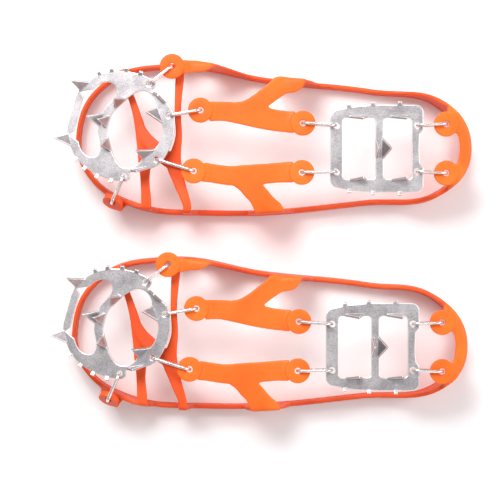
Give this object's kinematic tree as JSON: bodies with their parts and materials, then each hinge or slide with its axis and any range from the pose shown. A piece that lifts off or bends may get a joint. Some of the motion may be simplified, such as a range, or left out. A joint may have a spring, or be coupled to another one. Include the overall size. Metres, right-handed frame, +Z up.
{
  "type": "shoe ice cleats",
  "caption": "Pull-on ice cleats: a stretchy harness that grips a boot, with spiked steel toe and heel plates hung under the sole on wire links.",
  "frame": {"origin": "middle of the pair's box, on the surface that the harness rims rest on", "axes": "+X from toe to heel, +Y across the boots from the second cleat to the first, +Z up and away from the sole, so the spikes point up"},
  "size_m": [0.3102, 0.2624, 0.0569],
  "materials": {
    "rubber_harness": "matte moulded elastomer, bright orange",
    "stamped_steel": "tumbled stainless sheet with a fine speckled grain",
    "link_wire": "polished stainless wire"
  },
  "bodies": {
    "harness_1": {"harness_1": "rubber_harness"},
    "harness_2": {"harness_2": "rubber_harness"},
    "toe_plate_1": {"toe_plate_1": "stamped_steel"},
    "heel_plate_1": {"heel_plate_1": "stamped_steel"},
    "link_toe_inner_1": {"link_toe_inner_1": "link_wire"},
    "link_toe_inner_rear_1": {"link_toe_inner_rear_1": "link_wire"},
    "link_toe_outer_rear_1": {"link_toe_outer_rear_1": "link_wire"},
    "link_heel_inner_front_1": {"link_heel_inner_front_1": "link_wire"},
    "link_heel_outer_front_1": {"link_heel_outer_front_1": "link_wire"},
    "link_heel_inner_back_1": {"link_heel_inner_back_1": "link_wire"},
    "link_heel_outer_back_1": {"link_heel_outer_back_1": "link_wire"},
    "link_toe_outer_1": {"link_toe_outer_1": "link_wire"},
    "toe_plate_2": {"toe_plate_2": "stamped_steel"},
    "heel_plate_2": {"heel_plate_2": "stamped_steel"},
    "link_toe_inner_2": {"link_toe_inner_2": "link_wire"},
    "link_toe_inner_rear_2": {"link_toe_inner_rear_2": "link_wire"},
    "link_toe_outer_rear_2": {"link_toe_outer_rear_2": "link_wire"},
    "link_heel_inner_front_2": {"link_heel_inner_front_2": "link_wire"},
    "link_heel_outer_front_2": {"link_heel_outer_front_2": "link_wire"},
    "link_heel_inner_back_2": {"link_heel_inner_back_2": "link_wire"},
    "link_heel_outer_back_2": {"link_heel_outer_back_2": "link_wire"},
    "link_toe_outer_2": {"link_toe_outer_2": "link_wire"}
  },
  "joints": [
    {"name": "cleat_2_lift_off", "type": "slide", "parent": "harness_1", "child": "harness_2", "axis": [0, 0, 1], "range_m": [0, 0.08]},
    {"name": "toe_plate_lift_1", "type": "slide", "parent": "harness_1", "child": "toe_plate_1", "axis": [0, 0, 1], "range_m": [0, 0.0015]},
    {"name": "heel_plate_lift_1", "type": "slide", "parent": "harness_1", "child": "heel_plate_1", "axis": [0, 0, 1], "range_m": [0, 0.0015]},
    {"name": "link_toe_inner_swing_1", "type": "hinge", "parent": "harness_1", "child": "link_toe_inner_1", "pos_m": [-0.06434, 0.12212, 0.046], "axis": [-0.6086, 0.7935, 0], "range_deg": [0, 4.3]},
    {"name": "link_toe_inner_rear_swing_1", "type": "hinge", "parent": "harness_1", "child": "link_toe_inner_rear_1", "pos_m": [-0.04364, 0.09002, 0.046], "axis": [-0.1664, 0.9861, 0], "range_deg": [0, 4]},
    {"name": "link_toe_outer_rear_swing_1", "type": "hinge", "parent": "harness_1", "child": "link_toe_outer_rear_1", "pos_m": [-0.04864, 0.04562, 0.046], "axis": [0.2954, 0.9554, 0], "range_deg": [0, 3.3]},
    {"name": "link_heel_inner_front_swing_1", "type": "hinge", "parent": "harness_1", "child": "link_heel_inner_front_1", "pos_m": [0.03136, 0.08052, 0.046], "axis": [-0.0701, -0.9975, 0], "range_deg": [0, 3.8]},
    {"name": "link_heel_outer_front_swing_1", "type": "hinge", "parent": "harness_1", "child": "link_heel_outer_front_1", "pos_m": [0.03056, 0.04452, 0.046], "axis": [0.02, -0.9998, 0], "range_deg": [0, 3.7]},
    {"name": "link_heel_inner_back_swing_1", "type": "hinge", "parent": "harness_1", "child": "link_heel_inner_back_1", "pos_m": [0.13606, 0.07982, 0.046], "axis": [-0.0469, 0.9989, 0], "range_deg": [0, 4.3]},
    {"name": "link_heel_outer_back_swing_1", "type": "hinge", "parent": "harness_1", "child": "link_heel_outer_back_1", "pos_m": [0.13606, 0.04402, 0.046], "axis": [0.0469, 0.9989, 0], "range_deg": [0, 4.3]},
    {"name": "link_toe_outer_swing_1", "type": "hinge", "parent": "harness_1", "child": "link_toe_outer_1", "pos_m": [-0.10794, 0.02432, 0.036], "axis": [0.9167, -0.3996, 0], "range_deg": [0, 4.7]},
    {"name": "toe_plate_lift_2", "type": "slide", "parent": "harness_2", "child": "toe_plate_2", "axis": [0, 0, 1], "range_m": [0, 0.0015]},
    {"name": "heel_plate_lift_2", "type": "slide", "parent": "harness_2", "child": "heel_plate_2", "axis": [0, 0, 1], "range_m": [0, 0.0015]},
    {"name": "link_toe_inner_swing_2", "type": "hinge", "parent": "harness_2", "child": "link_toe_inner_2", "pos_m": [-0.06734, -0.02288, 0.046], "axis": [-0.6086, 0.7935, 0], "range_deg": [0, 4.3]},
    {"name": "link_toe_inner_rear_swing_2", "type": "hinge", "parent": "harness_2", "child": "link_toe_inner_rear_2", "pos_m": [-0.04664, -0.05498, 0.046], "axis": [-0.1664, 0.9861, 0], "range_deg": [0, 4]},
    {"name": "link_toe_outer_rear_swing_2", "type": "hinge", "parent": "harness_2", "child": "link_toe_outer_rear_2", "pos_m": [-0.05164, -0.09938, 0.046], "axis": [0.2954, 0.9554, 0], "range_deg": [0, 3.3]},
    {"name": "link_heel_inner_front_swing_2", "type": "hinge", "parent": "harness_2", "child": "link_heel_inner_front_2", "pos_m": [0.02836, -0.06448, 0.046], "axis": [-0.0701, -0.9975, 0], "range_deg": [0, 3.8]},
    {"name": "link_heel_outer_front_swing_2", "type": "hinge", "parent": "harness_2", "child": "link_heel_outer_front_2", "pos_m": [0.02756, -0.10048, 0.046], "axis": [0.02, -0.9998, 0], "range_deg": [0, 3.7]},
    {"name": "link_heel_inner_back_swing_2", "type": "hinge", "parent": "harness_2", "child": "link_heel_inner_back_2", "pos_m": [0.13306, -0.06518, 0.046], "axis": [-0.0469, 0.9989, 0], "range_deg": [0, 4.3]},
    {"name": "link_heel_outer_back_swing_2", "type": "hinge", "parent": "harness_2", "child": "link_heel_outer_back_2", "pos_m": [0.13306, -0.10098, 0.046], "axis": [0.0469, 0.9989, 0], "range_deg": [0, 4.3]},
    {"name": "link_toe_outer_swing_2", "type": "hinge", "parent": "harness_2", "child": "link_toe_outer_2", "pos_m": [-0.11094, -0.12068, 0.036], "axis": [0.9167, -0.3996, 0], "range_deg": [0, 4.7]}
  ],
  "couplings": [
    {"joint": "link_toe_inner_swing_1", "follows": "toe_plate_lift_1", "rad_per_m": 47.001},
    {"joint": "link_toe_inner_rear_swing_1", "follows": "toe_plate_lift_1", "rad_per_m": 42.706},
    {"joint": "link_toe_outer_rear_swing_1", "follows": "toe_plate_lift_1", "rad_per_m": 35.181},
    {"joint": "link_heel_inner_front_swing_1", "follows": "heel_plate_lift_1", "rad_per_m": 41.221},
    {"joint": "link_heel_outer_front_swing_1", "follows": "heel_plate_lift_1", "rad_per_m": 39.992},
    {"joint": "link_heel_inner_back_swing_1", "follows": "heel_plate_lift_1", "rad_per_m": 46.897},
    {"joint": "link_heel_outer_back_swing_1", "follows": "heel_plate_lift_1", "rad_per_m": 46.897},
    {"joint": "link_toe_outer_swing_1", "follows": "toe_plate_lift_1", "rad_per_m": 51.074},
    {"joint": "link_toe_inner_swing_2", "follows": "toe_plate_lift_2", "rad_per_m": 47.001},
    {"joint": "link_toe_inner_rear_swing_2", "follows": "toe_plate_lift_2", "rad_per_m": 42.706},
    {"joint": "link_toe_outer_rear_swing_2", "follows": "toe_plate_lift_2", "rad_per_m": 35.181},
    {"joint": "link_heel_inner_front_swing_2", "follows": "heel_plate_lift_2", "rad_per_m": 41.221},
    {"joint": "link_heel_outer_front_swing_2", "follows": "heel_plate_lift_2", "rad_per_m": 39.992},
    {"joint": "link_heel_inner_back_swing_2", "follows": "heel_plate_lift_2", "rad_per_m": 46.897},
    {"joint": "link_heel_outer_back_swing_2", "follows": "heel_plate_lift_2", "rad_per_m": 46.897},
    {"joint": "link_toe_outer_swing_2", "follows": "toe_plate_lift_2", "rad_per_m": 51.074}
  ]
}
